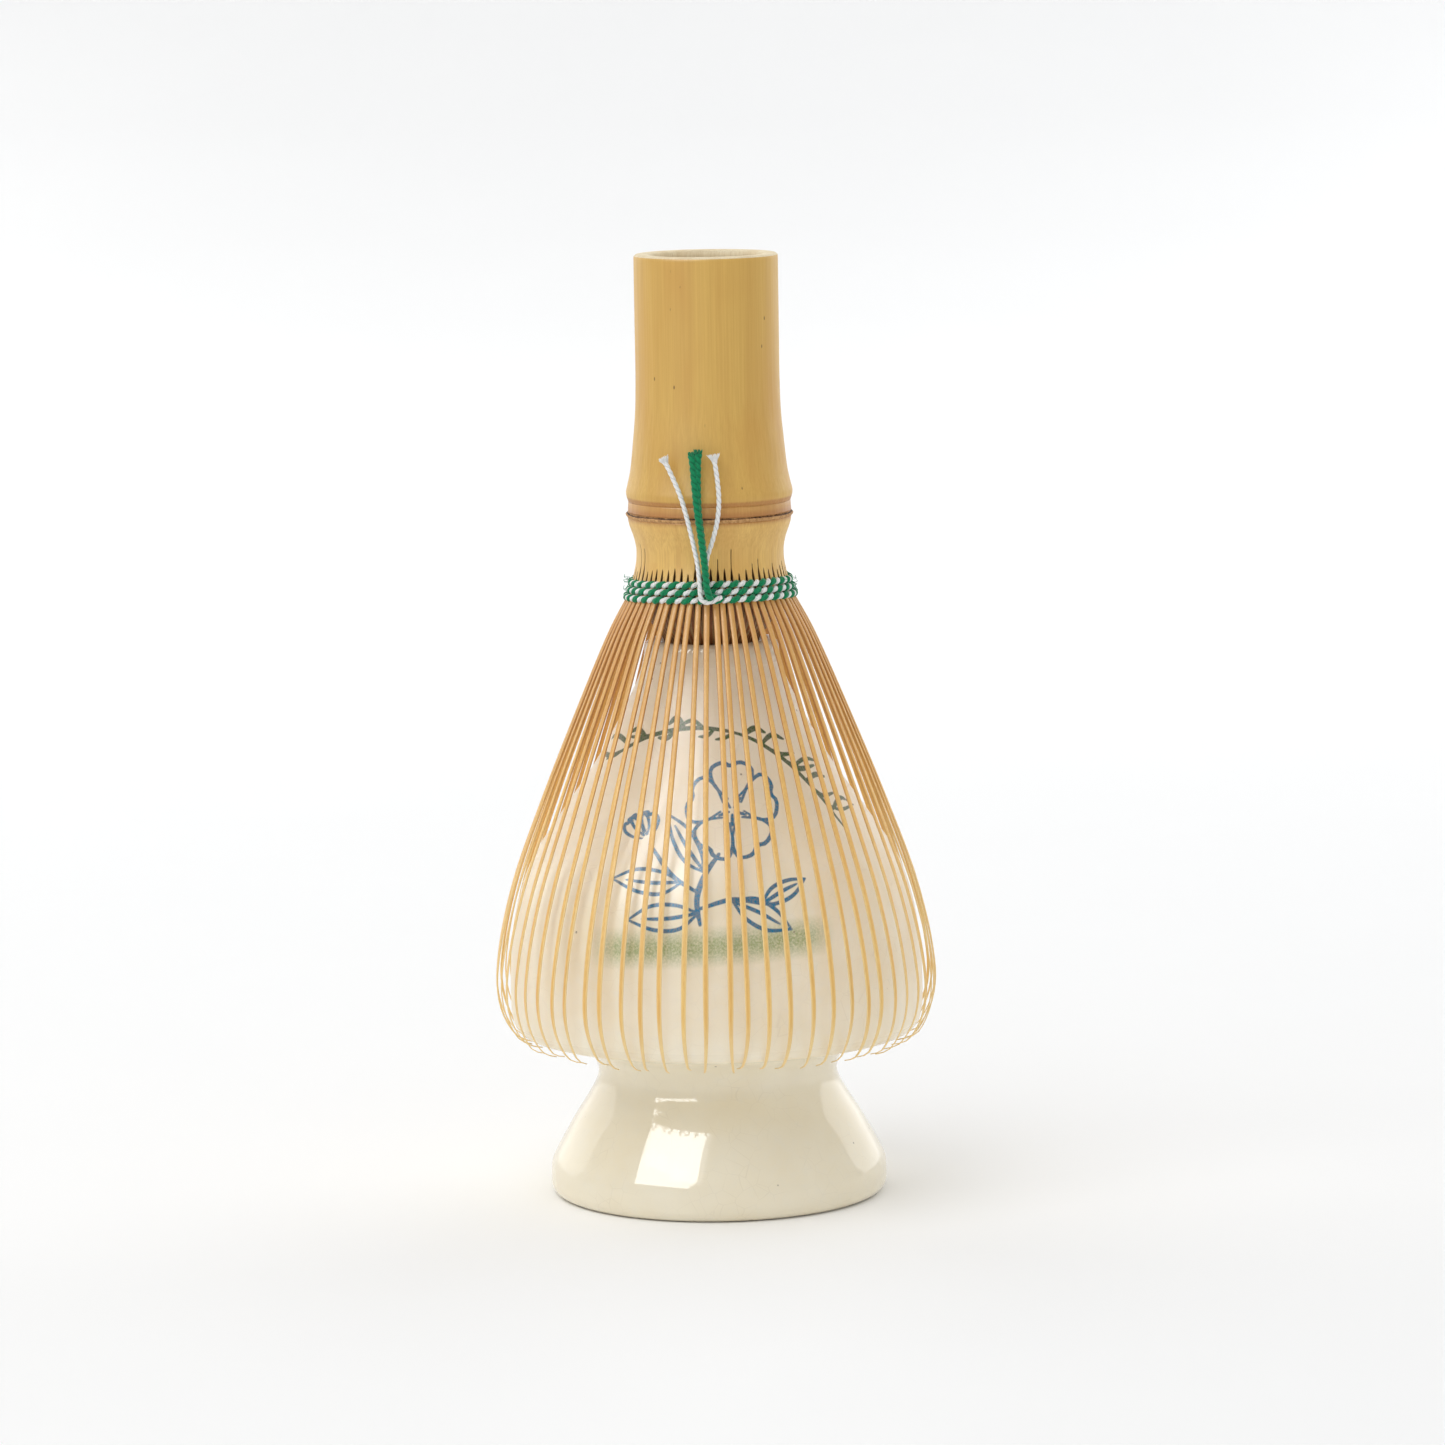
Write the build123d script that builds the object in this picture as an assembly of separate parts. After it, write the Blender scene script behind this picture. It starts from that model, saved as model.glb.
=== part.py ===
"""Bamboo tea whisk standing on its ceramic shaping stand, in millimetres.

The origin is the centre of the stand's foot, +Z points up and -Y is the side that carries the cord's knot.
Every outline is drawn as (radius, height) in the meridian plane and turned about the Z axis.
"""

import os
from math import cos, hypot, radians, sin

from build123d import *

# Counts
TINES = 64                  # tines in the outer ring, and as many again in the inner ring
TINES_PER_NODE = 4
NODES_PER_RING = TINES // TINES_PER_NODE
PITCH_DEG = 360.0 / TINES
ON_BASE = (Align.CENTER, Align.CENTER, Align.MIN)

# Ceramic stand
FOOT_RADIUS = 24.55
FOOT_CONTACT_RADIUS = 22.9
FOOT_OPENING_RADIUS = 19.6
WAIST_RADIUS = 17.45
WAIST_HEIGHT = 18.2
BELLY_RADIUS = 30.05
BELLY_HEIGHT = 30.0
MOUTH_RADIUS = 7.2
LIP_RADIUS = 1.275
LIP_HEIGHT = 80.1           # height of the lip's centre, so the stand is 81.4 tall
STAND_CUTS = (17.9, 30.0, 63.5)         # heights between its foot, shoulder, belly and neck

# Handle, a length of bamboo culm
WHISK_TOP = 137.0
GRIP_RADIUS = 10.4
BORE_RADIUS = 7.9
GRIP_LOW = 117.0            # the grip is a true cylinder from here to the top
RIM_EASE = 0.3              # rounding of the sawn top edge
HANDLE_LOW = 101.4
RIDGE_RADIUS = 12.02
RIDGE_HEIGHT = 102.6
BAND_RADIUS = 11.86
BAND_LOW = 99.9
SCAR_RADIUS = 12.1
SCAR_LOW = 99.2

# Split neck below the culm's node
NECK_BORE_RADIUS = 8.1
SPLIT_ROOT = 92.4           # flat face under the neck's full wall, where the inner tines leave it
STRIP_END = 87.2            # lower ends of the neck's strips
STRIP_THICKNESS = 0.45
SLIT_TOPS = (92.7, 91.9, 92.3, 91.6)    # repeated round the neck, so the slits end unevenly
SLIT_WIDTH_LOW = 0.34
SLIT_WIDTH_TOP = 0.06

# Tines
OUTER_ROOT = 87.1           # the outer tines start a tenth below the strips, so that they can turn
OUTER_WIDTHS = (0.86, 0.66)
INNER_WIDTHS = (0.60, 0.28)
TINE_ARCS = 10              # arcs along each face of a tine

# Cord, about 1 mm thick, laid round the strips in three rows
TAIL_DIAMETER = 0.9
ROW_HEIGHTS = (89.75, 88.70, 87.65)
ROW_DEPTH = 0.62
ROW_HEIGHT = 1.02
BACK_CLEARANCE = 0.02
INNER_WRAP_DIAMETER = 0.8


def turned(*edges):
    """The closed outline made by these edges, turned about the Z axis."""
    return revolve(Plane.XZ * make_face(edges), Axis.Z)


def make_stand():
    """One hollow firing: foot, waist, belly and a neck that ends in a rounded lip."""
    foot_top = (FOOT_RADIUS, 4.3)
    waist = (WAIST_RADIUS, WAIST_HEIGHT)
    shoulder_low = (27.9, 23.95)
    shoulder_high = (29.85, 26.2)
    lip_outside = (MOUTH_RADIUS + 2 * LIP_RADIUS, LIP_HEIGHT)
    lip_inside = (MOUTH_RADIUS, LIP_HEIGHT)
    belly_inside = (26.9, BELLY_HEIGHT)
    shelf_inside = (23.5, 26.6)
    waist_inside = (14.6, 17.5)
    return turned(
        Line((FOOT_OPENING_RADIUS, 0), (FOOT_CONTACT_RADIUS, 0)),
        ThreePointArc((FOOT_CONTACT_RADIUS, 0), (24.06, 0.48), (FOOT_RADIUS, 1.65)),
        Line((FOOT_RADIUS, 1.65), foot_top),
        Spline(foot_top, (23.75, 6.5), (21.1, 11.0), (18.6, 15.0), waist, tangents=((0, 1), (0, 1))),
        Spline(waist, (19.2, 21.6), (22.8, 23.2), shoulder_low, tangents=((0, 1), (1, 0.08))),
        ThreePointArc(shoulder_low, (29.32, 24.7), shoulder_high),
        Spline(
            shoulder_high, (BELLY_RADIUS, BELLY_HEIGHT), (29.35, 40.0), (26.8, 48.8), (23.0, 54.8),
            (17.05, 63.5), (12.9, 71.0), (10.4, 76.5), lip_outside, tangents=((0.1, 1), (0, 1)),
        ),
        ThreePointArc(lip_outside, (MOUTH_RADIUS + LIP_RADIUS, LIP_HEIGHT + LIP_RADIUS), lip_inside),
        Spline(
            lip_inside, (7.5, 76.0), (9.9, 70.5), (14.0, 63.0), (19.8, 54.6), (23.7, 48.2),
            (26.2, 39.5), belly_inside, tangents=((0, -1), (0, -1)),
        ),
        Spline(belly_inside, (26.0, 27.6), shelf_inside, tangents=((0, -1), (-1, -0.05))),
        Spline(shelf_inside, (17.8, 24.2), waist_inside, tangents=((-1, -0.05), (0, -1))),
        Spline(waist_inside, (17.2, 11.5), (FOOT_OPENING_RADIUS, 4.0), tangents=((0, -1), (0, -1))),
        Line((FOOT_OPENING_RADIUS, 4.0), (FOOT_OPENING_RADIUS, 0)),
    )


def cut_stand(stand):
    """The stand's four lengths: they are one piece of ceramic, and meet face to face."""
    levels = (0.0, *STAND_CUTS, LIP_HEIGHT + LIP_RADIUS)
    nodes = {}
    for name, low, high in zip(("foot", "shoulder", "belly", "neck"), levels, levels[1:]):
        slab = Pos(0, 0, low) * Cylinder(2 * BELLY_RADIUS, high - low, align=ON_BASE)
        nodes[f"stand_{name}"] = stand & slab
    return nodes


def make_handle():
    """The open culm: a straight grip that swells towards the node."""
    rim = WHISK_TOP - RIM_EASE
    band_edge = (BAND_RADIUS, HANDLE_LOW)
    return turned(
        Line((BORE_RADIUS, HANDLE_LOW), (BORE_RADIUS, rim)),
        ThreePointArc(
            (BORE_RADIUS, rim), (BORE_RADIUS + 0.09, rim + 0.21), (BORE_RADIUS + RIM_EASE, WHISK_TOP),
        ),
        Line((BORE_RADIUS + RIM_EASE, WHISK_TOP), (GRIP_RADIUS - RIM_EASE, WHISK_TOP)),
        ThreePointArc(
            (GRIP_RADIUS - RIM_EASE, WHISK_TOP), (GRIP_RADIUS - 0.09, rim + 0.21), (GRIP_RADIUS, rim),
        ),
        Line((GRIP_RADIUS, rim), (GRIP_RADIUS, GRIP_LOW)),
        Spline(
            (GRIP_RADIUS, GRIP_LOW), (10.92, 109.9), (11.33, 105.8), (RIDGE_RADIUS, RIDGE_HEIGHT),
            band_edge,
            tangents=((0, -1), (-0.05, -1)),
        ),
        Line(band_edge, (BORE_RADIUS, HANDLE_LOW)),
    )


def make_node_band():
    """The smooth band between the node's ridge and the sheath scar."""
    height = HANDLE_LOW - BAND_LOW
    return turned(
        Line((BORE_RADIUS, BAND_LOW), (BAND_RADIUS, BAND_LOW)),
        ThreePointArc(
            (BAND_RADIUS, BAND_LOW), (BAND_RADIUS - 0.06, BAND_LOW + height / 2), (BAND_RADIUS, HANDLE_LOW),
        ),
        Line((BAND_RADIUS, HANDLE_LOW), (BORE_RADIUS, HANDLE_LOW)),
        Line((BORE_RADIUS, HANDLE_LOW), (BORE_RADIUS, BAND_LOW)),
    )


def make_septum():
    """The culm's own wall across the bore, inside the band."""
    thickness = HANDLE_LOW - BAND_LOW
    return Pos(0, 0, BAND_LOW) * Cylinder(BORE_RADIUS, thickness, align=ON_BASE)


def make_sheath_scar():
    """The thin proud ring that the fallen sheath leaves."""
    middle = (SCAR_LOW + BAND_LOW) / 2
    return turned(
        Line((BORE_RADIUS, SCAR_LOW), (BAND_RADIUS, SCAR_LOW)),
        ThreePointArc((BAND_RADIUS, SCAR_LOW), (SCAR_RADIUS, middle), (BAND_RADIUS, BAND_LOW)),
        Line((BAND_RADIUS, BAND_LOW), (BORE_RADIUS, BAND_LOW)),
        Line((BORE_RADIUS, BAND_LOW), (BORE_RADIUS, SCAR_LOW)),
    )


def strip_radius(height):
    """Outer radius of the neck's strips: they flare as they go down through the cord."""
    down = SPLIT_ROOT - height
    return 10.75 + 0.18 * down + 0.021 * down ** 2


def make_slit(top):
    """One V-shaped slit, seen from outside, running in through the neck's wall."""
    low = STRIP_END - 1.0
    outline = Polyline(
        (-SLIT_WIDTH_LOW / 2, low), (SLIT_WIDTH_LOW / 2, low),
        (SLIT_WIDTH_TOP / 2, top), (-SLIT_WIDTH_TOP / 2, top), close=True,
    )
    wedge = extrude(Plane.YZ * make_face(outline), amount=6.0)
    return Pos(9.0, 0, 0) * wedge


def make_neck():
    """Full culm wall below the node, then a thin skirt that the slits divide into one strip per tine."""
    skirt = [SPLIT_ROOT - step * (SPLIT_ROOT - STRIP_END) / 3 for step in range(4)]
    outside = [(strip_radius(z), z) for z in skirt]
    inside = [(strip_radius(z) - STRIP_THICKNESS, z) for z in skirt]
    neck = turned(
        Spline(
            (BAND_RADIUS, SCAR_LOW), (11.3, 96.8), (10.72, 94.9), *outside, tangents=((0, -1), (0.42, -1)),
        ),
        Line(outside[-1], inside[-1]),
        Spline(*reversed(inside)),
        Line(inside[0], (NECK_BORE_RADIUS, SPLIT_ROOT)),
        Line((NECK_BORE_RADIUS, SPLIT_ROOT), (NECK_BORE_RADIUS, SCAR_LOW)),
        Line((NECK_BORE_RADIUS, SCAR_LOW), (BAND_RADIUS, SCAR_LOW)),
    )
    slits = [
        Rot(0, 0, (index + 0.5) * PITCH_DEG) * make_slit(SLIT_TOPS[index % len(SLIT_TOPS)])
        for index in range(TINES)
    ]
    return neck - slits


def bent_line(points):
    """The smooth line through these points, as a chain of arcs."""
    line = Spline(*points)
    at = [line @ (index / (2 * TINE_ARCS)) for index in range(2 * TINE_ARCS + 1)]
    return [ThreePointArc(*at[index:index + 3]) for index in range(0, 2 * TINE_ARCS, 2)]


def blade(outer_face, thicknesses, widths):
    """A tine in the XZ plane: a bent strip that thins from root to tip and narrows as it goes down."""
    inner_face = []
    for index, (r, z) in enumerate(outer_face):
        before = outer_face[max(index - 1, 0)]
        after = outer_face[min(index + 1, len(outer_face) - 1)]
        dr, dz = after[0] - before[0], after[1] - before[1]
        share = thicknesses[0] + (thicknesses[1] - thicknesses[0]) * index / (len(outer_face) - 1)
        scale = share / hypot(dr, dz)
        inner_face.append((r + dz * scale, z - dr * scale))
    profile = make_face([
        *bent_line(outer_face),
        Line(outer_face[-1], inner_face[-1]),
        *bent_line(inner_face[::-1]),
        Line(inner_face[0], outer_face[0]),
    ])
    slab = extrude(Plane.XZ * profile, amount=widths[0], both=True)
    top = outer_face[0][1]
    low = min(z for _, z in outer_face + inner_face)
    taper = make_face(Polyline(
        (-widths[0] / 2, top + 1), (widths[0] / 2, top + 1),
        (widths[1] / 2, low - 1), (-widths[1] / 2, low - 1), close=True,
    ))
    return slab & extrude(Plane.YZ * taper, amount=FOOT_RADIUS * 2)


def make_outer_tine():
    """Straight out of the neck, bowed round the stand's belly, the thinned tip hooked in under it."""
    root = strip_radius(STRIP_END)
    face = [
        (root, OUTER_ROOT), (13.95, 84.5), (20.55, 69.3), (25.3, 57.6), (29.6, 45.9), (31.8, 36.5),
        (32.3, 30.5), (31.25, 25.7), (28.9, 23.1), (26.6, 23.15),
    ]
    return blade(face, (STRIP_THICKNESS, 0.14), OUTER_WIDTHS)


def make_inner_tine():
    """Down from the neck's wall and in through the stand's mouth."""
    face = [
        (9.7, SPLIT_ROOT), (9.6, 88.5), (9.2, 85.4), (8.45, 83.4), (7.45, 82.0), (6.7, 80.2),
        (6.1, 74.0), (5.6, 62.0), (4.2, 50.5),
    ]
    return blade(face, (0.40, 0.18), INNER_WIDTHS)


def ring_of_tines(tine, first_angle):
    """The whole ring, dealt out to nodes of neighbouring tines. The first node is centred on -Y."""
    nodes = []
    for node in range(NODES_PER_RING):
        numbers = range(node * TINES_PER_NODE, (node + 1) * TINES_PER_NODE)
        nodes.append(Compound([Rot(0, 0, first_angle + number * PITCH_DEG) * tine for number in numbers]))
    return nodes


def make_row(height):
    """One row of the braid: flat-backed against the strips, rounded outside."""
    back = strip_radius(height) + BACK_CLEARANCE
    low, high = height - ROW_HEIGHT / 2, height + ROW_HEIGHT / 2
    back_low = strip_radius(low) + BACK_CLEARANCE
    back_high = strip_radius(high) + BACK_CLEARANCE
    return turned(
        Line((back_high, high), (back_low, low)),
        ThreePointArc((back_low, low), (back + ROW_DEPTH, height), (back_high, high)),
    )


def make_inner_wrap():
    """The cord's turns behind the strips, which hold the outer tines off the inner ones."""
    major = [strip_radius(z) - STRIP_THICKNESS - 0.55 * INNER_WRAP_DIAMETER for z in ROW_HEIGHTS]
    return Compound([
        Pos(0, 0, z) * Torus(r, INNER_WRAP_DIAMETER / 2) for r, z in zip(major, ROW_HEIGHTS)
    ])


def make_knot():
    """The flat knot on the lowest row."""
    lump = scale(Sphere(1.0), by=(0.95, 0.42, 0.80))
    return Pos(-0.6, -13.25, 87.9) * lump


def make_tail(points):
    """A cord end: straight runs joined by tangent arcs as large as the runs allow."""
    vectors = [Vector(*point) for point in points]
    runs = [b - a for a, b in zip(vectors, vectors[1:])]
    radii = []
    for one, two in zip(runs, runs[1:]):
        half_turn = radians(one.get_angle(two)) / 2
        shorter = min(one.length, two.length)
        radii.append(0.45 * shorter * cos(half_turn) / sin(half_turn))
    path = FilletPolyline(*points, radius=radii)
    section = Plane(origin=path @ 0, z_dir=path % 0) * Circle(TAIL_DIAMETER / 2)
    return sweep(section, path=path)


TAILS = {
    "tail_white_left": [
        (-1.3, -13.3, 89.0), (-1.45, -13.15, 92.6), (-2.15, -12.95, 96.8), (-3.0, -12.75, 100.9),
        (-4.2, -12.2, 104.5), (-6.3, -11.0, 108.2),
    ],
    "tail_white_right": [
        (0.1, -11.9, 90.9), (0.0, -12.0, 93.2), (0.75, -12.25, 96.6), (1.35, -12.75, 100.0),
        (1.45, -12.7, 104.2), (0.75, -12.3, 108.6),
    ],
    "tail_green_left": [
        (-0.35, -13.95, 89.05), (-0.48, -13.92, 92.4), (-0.98, -13.75, 97.2), (-1.62, -13.3, 102.6),
        (-2.2, -12.5, 109.0),
    ],
    "tail_green_right": [
        (-0.35, -13.0, 89.05), (-0.42, -12.98, 92.4), (-0.55, -12.92, 97.2), (-0.78, -12.88, 102.6),
        (-1.22, -12.6, 109.3),
    ],
}


def build():
    """Every node of the object, by name."""
    nodes = cut_stand(make_stand())
    nodes |= {
        "handle": make_handle(),
        "node_band": make_node_band(),
        "septum": make_septum(),
        "sheath_scar": make_sheath_scar(),
        "split_neck": make_neck(),
    }
    first_outer = -90 - (TINES_PER_NODE - 1) / 2 * PITCH_DEG
    outer = ring_of_tines(make_outer_tine(), first_outer)
    inner = ring_of_tines(make_inner_tine(), first_outer + PITCH_DEG / 2)
    for number, (outer_node, inner_node) in enumerate(zip(outer, inner), start=1):
        nodes[f"outer_tines_{number:02d}"] = outer_node
        nodes[f"inner_tines_{number:02d}"] = inner_node
    for name, height in zip(("top", "middle", "bottom"), ROW_HEIGHTS):
        nodes[f"braid_row_{name}"] = make_row(height)
    nodes["inner_wrap"] = make_inner_wrap()
    nodes["knot"] = make_knot()
    for name, points in TAILS.items():
        nodes[name] = make_tail(points)
    return nodes


def main():
    os.makedirs("parts", exist_ok=True)
    for name, shape in build().items():
        export_step(shape, f"parts/{name}.step")


main()
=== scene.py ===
"""Looks of a bamboo tea whisk on its ceramic stand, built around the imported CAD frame.

Shapes are worked out in millimetres, as (radius, height) about the common axis, and turned into metres
when the mesh is made.
Azimuth 0 is the front, -Y, where the cord is knotted; it grows towards +X.
"""
from math import cos, pi, radians, sin
from random import Random

import bmesh
import bpy
import numpy as np
from mathutils import Euler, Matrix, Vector


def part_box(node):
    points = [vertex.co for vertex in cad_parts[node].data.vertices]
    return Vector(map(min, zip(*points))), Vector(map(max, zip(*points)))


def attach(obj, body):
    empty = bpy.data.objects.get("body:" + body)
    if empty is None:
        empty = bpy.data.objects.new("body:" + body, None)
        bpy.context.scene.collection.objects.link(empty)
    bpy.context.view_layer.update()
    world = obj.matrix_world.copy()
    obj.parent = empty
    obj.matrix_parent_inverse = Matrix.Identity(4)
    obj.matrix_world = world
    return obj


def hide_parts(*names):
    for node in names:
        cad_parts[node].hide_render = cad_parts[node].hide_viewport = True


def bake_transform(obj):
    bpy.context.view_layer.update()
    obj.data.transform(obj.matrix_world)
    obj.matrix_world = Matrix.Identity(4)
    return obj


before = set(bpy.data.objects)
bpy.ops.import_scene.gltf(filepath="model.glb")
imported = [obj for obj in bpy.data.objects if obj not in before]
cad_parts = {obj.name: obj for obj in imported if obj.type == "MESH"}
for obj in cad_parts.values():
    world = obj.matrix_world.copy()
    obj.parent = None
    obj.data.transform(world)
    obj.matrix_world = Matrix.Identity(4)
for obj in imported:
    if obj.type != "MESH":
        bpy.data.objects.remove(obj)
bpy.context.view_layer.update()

MM = 0.001
TINES = 64
PER_NODE = 4
GROUPS = TINES // PER_NODE
PITCH = 2 * pi / TINES


def box_mm(node):
    """Lowest and highest corner of a CAD node, in millimetres."""
    low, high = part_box(node)
    return low / MM, high / MM


def outer_radius(node):
    return box_mm(node)[1].x


def middle_height(node):
    low, high = box_mm(node)
    return (low.z + high.z) / 2


WHISK_TOP = box_mm("handle")[1].z
HANDLE_LOW = box_mm("handle")[0].z
BAND_LOW = box_mm("node_band")[0].z
SCAR_LOW = box_mm("sheath_scar")[0].z
BORE_RADIUS = outer_radius("septum")
ROW_NAMES = ("top", "middle", "bottom")
ROWS = [middle_height(f"braid_row_{name}") + 0.25 for name in ROW_NAMES]
STAND_NODES = [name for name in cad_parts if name.startswith("stand")]


# ---------------------------------------------------------------- curves and meshes

def smooth(points, count):
    """Points evenly spaced by length along a centripetal Catmull-Rom curve through the given ones."""
    p = np.array(points, float)
    p = np.vstack([2 * p[0] - p[1], p, 2 * p[-1] - p[-2]])
    fine = []
    for i in range(1, len(p) - 2):
        a, b, c, d = p[i - 1:i + 3]
        ta = 0.0
        tb = ta + np.linalg.norm(b - a) ** 0.5
        tc = tb + np.linalg.norm(c - b) ** 0.5
        td = tc + np.linalg.norm(d - c) ** 0.5
        t = np.linspace(tb, tc, 24, endpoint=False)[:, None]
        ab = (tb - t) / (tb - ta) * a + (t - ta) / (tb - ta) * b
        bc = (tc - t) / (tc - tb) * b + (t - tb) / (tc - tb) * c
        cd = (td - t) / (td - tc) * c + (t - tc) / (td - tc) * d
        abc = (tc - t) / (tc - ta) * ab + (t - ta) / (tc - ta) * bc
        bcd = (td - t) / (td - tb) * bc + (t - tb) / (td - tb) * cd
        fine.append((tc - t) / (tc - tb) * abc + (t - tb) / (tc - tb) * bcd)
    fine = np.vstack([*fine, p[-2:-1]])
    return evenly(fine, count)


def evenly(line, count):
    """The same line with points evenly spaced by length."""
    steps = np.linalg.norm(np.diff(line, axis=0), axis=1)
    at = np.concatenate([[0], np.cumsum(steps)])
    wanted = np.linspace(0, at[-1], count)
    return np.column_stack([np.interp(wanted, at, line[:, k]) for k in range(line.shape[1])])


def make_object(name, vertices, faces, material, values=None):
    """A mesh object from millimetre points. values holds one number per vertex for each named attribute."""
    mesh = bpy.data.meshes.new(name)
    mesh.from_pydata((np.asarray(vertices, float) * MM).tolist(), [], faces)
    for key, numbers in (values or {}).items():
        attribute = mesh.attributes.new(key, "FLOAT", "POINT")
        attribute.data.foreach_set("value", np.asarray(numbers, np.float32))
    mesh.polygons.foreach_set("use_smooth", [True] * len(mesh.polygons))
    mesh.materials.append(material)
    mesh.validate()
    mesh.update()
    made = bpy.data.objects.new(name, mesh)
    bpy.context.scene.collection.objects.link(made)
    return made


def grid_faces(rows, columns, close_rows=False, close_columns=True, start=0):
    """Quads of a rows x columns grid of points, closed round either way if asked."""
    faces = []
    for r in range(rows if close_rows else rows - 1):
        for c in range(columns if close_columns else columns - 1):
            r2, c2 = (r + 1) % rows, (c + 1) % columns
            faces.append((
                start + r * columns + c, start + r * columns + c2,
                start + r2 * columns + c2, start + r2 * columns + c,
            ))
    return faces


def around(radius, azimuth, height):
    """Points at those azimuths from the front, one to a row."""
    return np.column_stack([
        np.broadcast_to(radius * np.sin(azimuth), np.shape(azimuth)).ravel(),
        np.broadcast_to(-radius * np.cos(azimuth), np.shape(azimuth)).ravel(),
        np.broadcast_to(height, np.shape(azimuth)).ravel(),
    ])


def waves(seed, count, lowest, highest):
    """A smooth random function of azimuth and height, about -1 to 1, that meets itself round the axis."""
    draw = Random(seed)
    terms = []
    for _ in range(count):
        turns, slant = draw.randint(lowest, highest), draw.uniform(-0.35, 0.35)
        terms.append((turns, slant, draw.uniform(0, 2 * pi), draw.uniform(0.4, 1.0)))

    def value(azimuth, height):
        total = sum(a * np.sin(k * azimuth + m * height + phase) for k, m, phase, a in terms)
        return total / sum(a for *_, a in terms) * 1.6
    return value


def lathe(name, profile, azimuths, material, rough, values=None):
    """A turned shell with a closed profile. rough(azimuth, height) moves its points outwards."""
    radius = profile[:, 0][:, None]
    height = profile[:, 1][:, None]
    azimuth = azimuths[None, :] + 0 * radius
    moved = radius + rough(azimuth, height + 0 * azimuth)
    points = around(moved, azimuth, height + 0 * azimuth)
    faces = grid_faces(len(profile), len(azimuths), close_rows=True)
    measured = {key: f(points) for key, f in (values or {}).items()}
    return make_object(name, points, faces, material, values=measured)


# ---------------------------------------------------------------- materials

class Shader:
    """A material's node tree, with short names for the nodes that the materials here are made of."""

    def __init__(self, name, roughness=0.5, specular=0.5):
        self.material = bpy.data.materials.new(name)
        self.material.use_nodes = True
        self.tree = self.material.node_tree
        self.surface = self.tree.nodes["Principled BSDF"]
        self.surface.inputs["Roughness"].default_value = roughness
        self.surface.inputs["Specular IOR Level"].default_value = specular
        self.place = self.node("ShaderNodeTexCoord").outputs["Object"]

    def node(self, kind, inputs=None, **settings):
        made = self.tree.nodes.new(kind)
        for key, value in settings.items():
            setattr(made, key, value)
        for key, value in (inputs or {}).items():
            if isinstance(value, bpy.types.NodeSocket):
                self.tree.links.new(value, made.inputs[key])
            else:
                made.inputs[key].default_value = value
        return made

    def stretched(self, x, y, z):
        """Object coordinates in millimetres, scaled along each axis."""
        scale = Vector((x, y, z)) / MM
        return self.node("ShaderNodeMapping", {"Vector": self.place, "Scale": scale}).outputs["Vector"]

    def noise(self, where, scale, detail=3.0, rough=0.55):
        inputs = {"Vector": where, "Scale": scale, "Detail": detail, "Roughness": rough}
        return self.node("ShaderNodeTexNoise", inputs).outputs["Fac"]

    def math(self, operation, a, b):
        return self.node("ShaderNodeMath", {0: a, 1: b}, operation=operation).outputs[0]

    def between(self, value, low, high, to_low=0.0, to_high=1.0):
        """value rescaled from low..high to to_low..to_high, and held inside it."""
        inputs = {"Value": value, "From Min": low, "From Max": high, "To Min": to_low, "To Max": to_high}
        return self.node("ShaderNodeMapRange", inputs).outputs["Result"]

    def mix(self, share, a, b):
        made = self.node("ShaderNodeMix", data_type="RGBA")
        for socket, value in ((made.inputs[0], share), (made.inputs[6], a), (made.inputs[7], b)):
            if isinstance(value, bpy.types.NodeSocket):
                self.tree.links.new(value, socket)
            else:
                socket.default_value = value
        return made.outputs[2]

    def attribute(self, name):
        return self.node("ShaderNodeAttribute", attribute_name=name).outputs["Fac"]

    def bump(self, height, strength, distance_mm):
        inputs = {"Height": height, "Strength": strength, "Distance": distance_mm * MM}
        if self.surface.inputs["Normal"].is_linked:
            inputs["Normal"] = self.surface.inputs["Normal"].links[0].from_socket
        made = self.node("ShaderNodeBump", inputs)
        self.tree.links.new(made.outputs["Normal"], self.surface.inputs["Normal"])

    def set(self, socket, value):
        self.tree.links.new(value, self.surface.inputs[socket])


def rgb(red, green, blue):
    """A colour given as 0 to 255 on a screen, as Blender's linear values."""
    def linear(c):
        c /= 255
        return c / 12.92 if c <= 0.04045 else ((c + 0.055) / 1.055) ** 2.4
    return (linear(red), linear(green), linear(blue), 1.0)


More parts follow.
